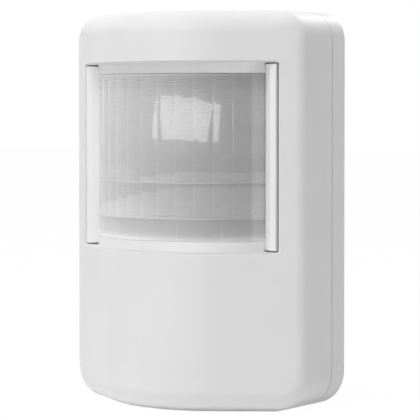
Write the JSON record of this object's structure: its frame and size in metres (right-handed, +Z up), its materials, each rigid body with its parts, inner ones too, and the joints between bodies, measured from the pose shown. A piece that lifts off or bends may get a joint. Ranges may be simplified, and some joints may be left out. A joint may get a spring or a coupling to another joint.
{
  "type": "pir motion detector",
  "caption": "Wall-mounted infrared motion detector with an arched hinged cover, a segmented lens window and a battery-powered sensor board.",
  "frame": {"origin": "centre of the flat wall face at the back", "axes": "+Z up the detector's height, +Y into the wall, -Y out of the front, +X to the right seen from the front"},
  "size_m": [0.074, 0.0392, 0.105],
  "materials": {
    "housing": "satin",
    "frame": "satin",
    "lens": "milky, glossy",
    "board": "satin",
    "steel": "satin",
    "aluminium": "satin",
    "copper": "satin",
    "filter": "glossy",
    "led": "glossy",
    "dark_plastic": "matte",
    "cream_plastic": "matte",
    "blue_plastic": "matte",
    "cell": "glossy"
  },
  "bodies": {
    "base": {"rear_base": "housing", "circuit_board": "board", "board_screws": "steel", "sensor_collar": "dark_plastic", "sensor_can": "steel", "sensor_window": "filter", "status_led": "led", "photocell": "cream_plastic", "microcontroller": "dark_plastic", "amplifier_chip": "dark_plastic", "capacitors": "aluminium", "radio_module": "steel", "antenna_wire": "copper", "battery_upper": "cell", "battery_lower": "cell", "link_contact": "steel", "output_contacts": "steel", "slide_switch_body": "steel", "pair_switch_body": "dark_plastic", "time_trimmer_body": "blue_plastic", "lux_trimmer_body": "blue_plastic"},
    "cover": {"front_cover": "housing", "lens_frame": "frame", "fresnel_lens": "lens", "left_lens_bar": "frame", "right_lens_bar": "frame"},
    "power_knob": {"slide_switch_knob": "dark_plastic"},
    "pair_button": {"pair_button": "dark_plastic"},
    "time_rotor": {"time_trimmer_rotor": "cream_plastic"},
    "lux_rotor": {"lux_trimmer_rotor": "cream_plastic"}
  },
  "joints": [
    {"name": "cover_swing", "type": "hinge", "parent": "base", "child": "cover", "pos_m": [0, -0.0068, 0.0525], "axis": [-1, 0, 0], "range_deg": [0, 30]},
    {"name": "power_slide", "type": "slide", "parent": "base", "child": "power_knob", "axis": [1, 0, 0], "range_m": [0, 0.002]},
    {"name": "pair_press", "type": "slide", "parent": "base", "child": "pair_button", "axis": [0, 1, 0], "range_m": [0, 0.0003], "stiffness_N_per_m": 1500},
    {"name": "time_turn", "type": "hinge", "parent": "base", "child": "time_rotor", "pos_m": [-0.019, -0.009, 0.008], "axis": [0, -1, 0], "range_deg": [-135, 135]},
    {"name": "lux_turn", "type": "hinge", "parent": "base", "child": "lux_rotor", "pos_m": [0.019, -0.009, 0.008], "axis": [0, -1, 0], "range_deg": [-135, 135]}
  ]
}
